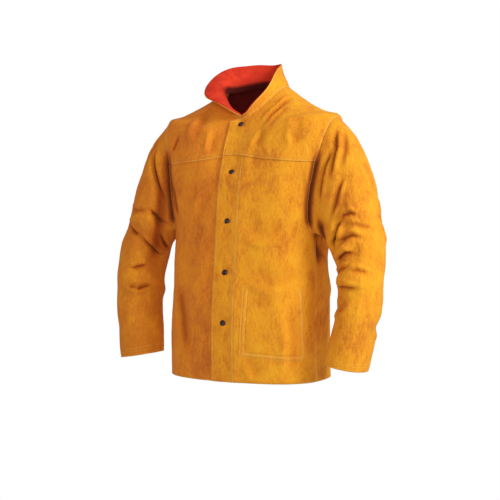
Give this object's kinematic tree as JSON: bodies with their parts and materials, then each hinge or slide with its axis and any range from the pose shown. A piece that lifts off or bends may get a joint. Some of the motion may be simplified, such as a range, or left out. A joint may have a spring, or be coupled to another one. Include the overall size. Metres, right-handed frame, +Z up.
{
  "type": "leather welding jacket",
  "caption": "Long-sleeved suede work jacket, snapped shut, with a stand-up collar, chest and shoulder yokes and an inside pocket.",
  "frame": {"origin": "middle of the neck opening, level with the sides of the neck", "axes": "+Z up, +X towards the wearer's left, -Y out of the front"},
  "size_m": [0.7284, 0.3012, 0.7736],
  "materials": {
    "suede": "napped split leather",
    "lining": "woven cotton",
    "snaps": "blackened, glossy"
  },
  "bodies": {
    "root": {"front_left": "suede", "front_right": "suede", "back": "suede", "yoke_left": "suede", "yoke_right": "suede", "yoke_back": "suede", "front_facing": "suede", "inside_pocket": "suede", "collar": "suede", "collar_lining": "lining", "neck_lining": "lining", "sleeve_left": "suede", "sleeve_right": "suede", "snap_1": "snaps", "snap_2": "snaps", "snap_3": "snaps", "snap_4": "snaps", "snap_5": "snaps"}
  },
  "joints": []
}
